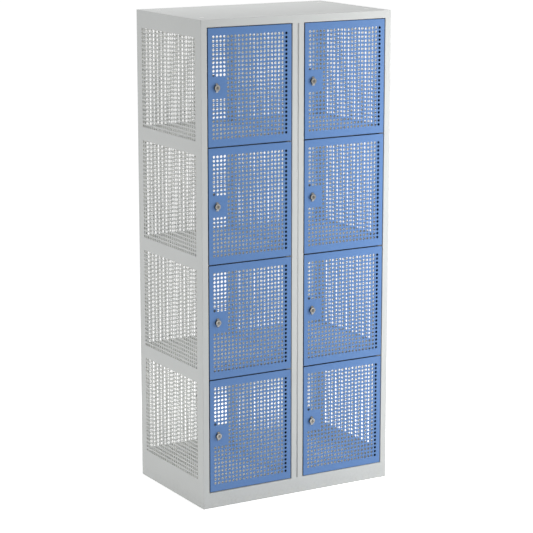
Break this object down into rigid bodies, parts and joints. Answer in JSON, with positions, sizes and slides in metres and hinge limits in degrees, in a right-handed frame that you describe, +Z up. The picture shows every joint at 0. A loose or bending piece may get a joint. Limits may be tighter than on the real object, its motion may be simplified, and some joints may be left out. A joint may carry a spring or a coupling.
{
  "type": "compartment locker",
  "caption": "Sheet steel compartment locker with two columns of perforated, hinged doors, each with a cam lock, over shelves and a plinth.",
  "frame": {"origin": "on the ground under the middle of the cabinet, midway between its sides and between front and back", "axes": "+Z up, +X to the right seen from the front, +Y to the back; the doors face -Y"},
  "size_m": [0.8, 0.5085, 1.8016],
  "materials": {
    "light_grey_paint": "fine satin powder coat",
    "blue_paint": "fine satin powder coat",
    "nickel_lock": "bright nickel plate",
    "zinc_steel": "dull zinc plate",
    "white_plastic": "matte"
  },
  "bodies": {
    "cabinet": {"left_side_panel": "light_grey_paint", "right_side_panel": "light_grey_paint", "centre_partition": "light_grey_paint", "back_panel": "light_grey_paint", "roof_panel": "light_grey_paint", "roof_caps": "white_plastic", "floor_panel": "light_grey_paint", "left_stile": "light_grey_paint", "right_stile": "light_grey_paint", "centre_post": "light_grey_paint", "top_rail": "light_grey_paint", "plinth": "light_grey_paint", "hinge_brackets": "zinc_steel", "hinge_end_pins": "zinc_steel", "shelf_left_1": "light_grey_paint", "shelf_left_2": "light_grey_paint", "shelf_left_3": "light_grey_paint", "shelf_right_1": "light_grey_paint", "shelf_right_2": "light_grey_paint", "shelf_right_3": "light_grey_paint"},
    "door_left_1": {"door_leaf_left_1": "blue_paint", "door_stiffener_left_1": "blue_paint", "lock_case_left_1": "nickel_lock"},
    "lock_left_1": {"lock_plug_left_1": "nickel_lock", "lock_cam_left_1": "zinc_steel"},
    "door_left_2": {"door_leaf_left_2": "blue_paint", "door_stiffener_left_2": "blue_paint", "lock_case_left_2": "nickel_lock"},
    "lock_left_2": {"lock_plug_left_2": "nickel_lock", "lock_cam_left_2": "zinc_steel"},
    "door_left_3": {"door_leaf_left_3": "blue_paint", "door_stiffener_left_3": "blue_paint", "lock_case_left_3": "nickel_lock"},
    "lock_left_3": {"lock_plug_left_3": "nickel_lock", "lock_cam_left_3": "zinc_steel"},
    "door_left_4": {"door_leaf_left_4": "blue_paint", "door_stiffener_left_4": "blue_paint", "lock_case_left_4": "nickel_lock"},
    "lock_left_4": {"lock_plug_left_4": "nickel_lock", "lock_cam_left_4": "zinc_steel"},
    "door_right_1": {"door_leaf_right_1": "blue_paint", "door_stiffener_right_1": "blue_paint", "lock_case_right_1": "nickel_lock"},
    "lock_right_1": {"lock_plug_right_1": "nickel_lock", "lock_cam_right_1": "zinc_steel"},
    "door_right_2": {"door_leaf_right_2": "blue_paint", "door_stiffener_right_2": "blue_paint", "lock_case_right_2": "nickel_lock"},
    "lock_right_2": {"lock_plug_right_2": "nickel_lock", "lock_cam_right_2": "zinc_steel"},
    "door_right_3": {"door_leaf_right_3": "blue_paint", "door_stiffener_right_3": "blue_paint", "lock_case_right_3": "nickel_lock"},
    "lock_right_3": {"lock_plug_right_3": "nickel_lock", "lock_cam_right_3": "zinc_steel"},
    "door_right_4": {"door_leaf_right_4": "blue_paint", "door_stiffener_right_4": "blue_paint", "lock_case_right_4": "nickel_lock"},
    "lock_right_4": {"lock_plug_right_4": "nickel_lock", "lock_cam_right_4": "zinc_steel"}
  },
  "joints": [
    {"name": "door_left_1_hinge", "type": "hinge", "parent": "cabinet", "child": "door_left_1", "pos_m": [-0.0375, -0.244, 0.0615], "axis": [0, 0, 1], "range_deg": [0, 110]},
    {"name": "lock_left_1_turn", "type": "hinge", "parent": "door_left_1", "child": "lock_left_1", "pos_m": [-0.3375, -0.25, 0.274], "axis": [0, -1, 0], "range_deg": [0, 90]},
    {"name": "door_left_2_hinge", "type": "hinge", "parent": "cabinet", "child": "door_left_2", "pos_m": [-0.0375, -0.244, 0.4895], "axis": [0, 0, 1], "range_deg": [0, 110]},
    {"name": "lock_left_2_turn", "type": "hinge", "parent": "door_left_2", "child": "lock_left_2", "pos_m": [-0.3375, -0.25, 0.702], "axis": [0, -1, 0], "range_deg": [0, 90]},
    {"name": "door_left_3_hinge", "type": "hinge", "parent": "cabinet", "child": "door_left_3", "pos_m": [-0.0375, -0.244, 0.9175], "axis": [0, 0, 1], "range_deg": [0, 110]},
    {"name": "lock_left_3_turn", "type": "hinge", "parent": "door_left_3", "child": "lock_left_3", "pos_m": [-0.3375, -0.25, 1.13], "axis": [0, -1, 0], "range_deg": [0, 90]},
    {"name": "door_left_4_hinge", "type": "hinge", "parent": "cabinet", "child": "door_left_4", "pos_m": [-0.0375, -0.244, 1.3455], "axis": [0, 0, 1], "range_deg": [0, 110]},
    {"name": "lock_left_4_turn", "type": "hinge", "parent": "door_left_4", "child": "lock_left_4", "pos_m": [-0.3375, -0.25, 1.558], "axis": [0, -1, 0], "range_deg": [0, 90]},
    {"name": "door_right_1_hinge", "type": "hinge", "parent": "cabinet", "child": "door_right_1", "pos_m": [0.3625, -0.244, 0.0615], "axis": [0, 0, 1], "range_deg": [0, 110]},
    {"name": "lock_right_1_turn", "type": "hinge", "parent": "door_right_1", "child": "lock_right_1", "pos_m": [0.0625, -0.25, 0.274], "axis": [0, -1, 0], "range_deg": [0, 90]},
    {"name": "door_right_2_hinge", "type": "hinge", "parent": "cabinet", "child": "door_right_2", "pos_m": [0.3625, -0.244, 0.4895], "axis": [0, 0, 1], "range_deg": [0, 110]},
    {"name": "lock_right_2_turn", "type": "hinge", "parent": "door_right_2", "child": "lock_right_2", "pos_m": [0.0625, -0.25, 0.702], "axis": [0, -1, 0], "range_deg": [0, 90]},
    {"name": "door_right_3_hinge", "type": "hinge", "parent": "cabinet", "child": "door_right_3", "pos_m": [0.3625, -0.244, 0.9175], "axis": [0, 0, 1], "range_deg": [0, 110]},
    {"name": "lock_right_3_turn", "type": "hinge", "parent": "door_right_3", "child": "lock_right_3", "pos_m": [0.0625, -0.25, 1.13], "axis": [0, -1, 0], "range_deg": [0, 90]},
    {"name": "door_right_4_hinge", "type": "hinge", "parent": "cabinet", "child": "door_right_4", "pos_m": [0.3625, -0.244, 1.3455], "axis": [0, 0, 1], "range_deg": [0, 110]},
    {"name": "lock_right_4_turn", "type": "hinge", "parent": "door_right_4", "child": "lock_right_4", "pos_m": [0.0625, -0.25, 1.558], "axis": [0, -1, 0], "range_deg": [0, 90]}
  ]
}
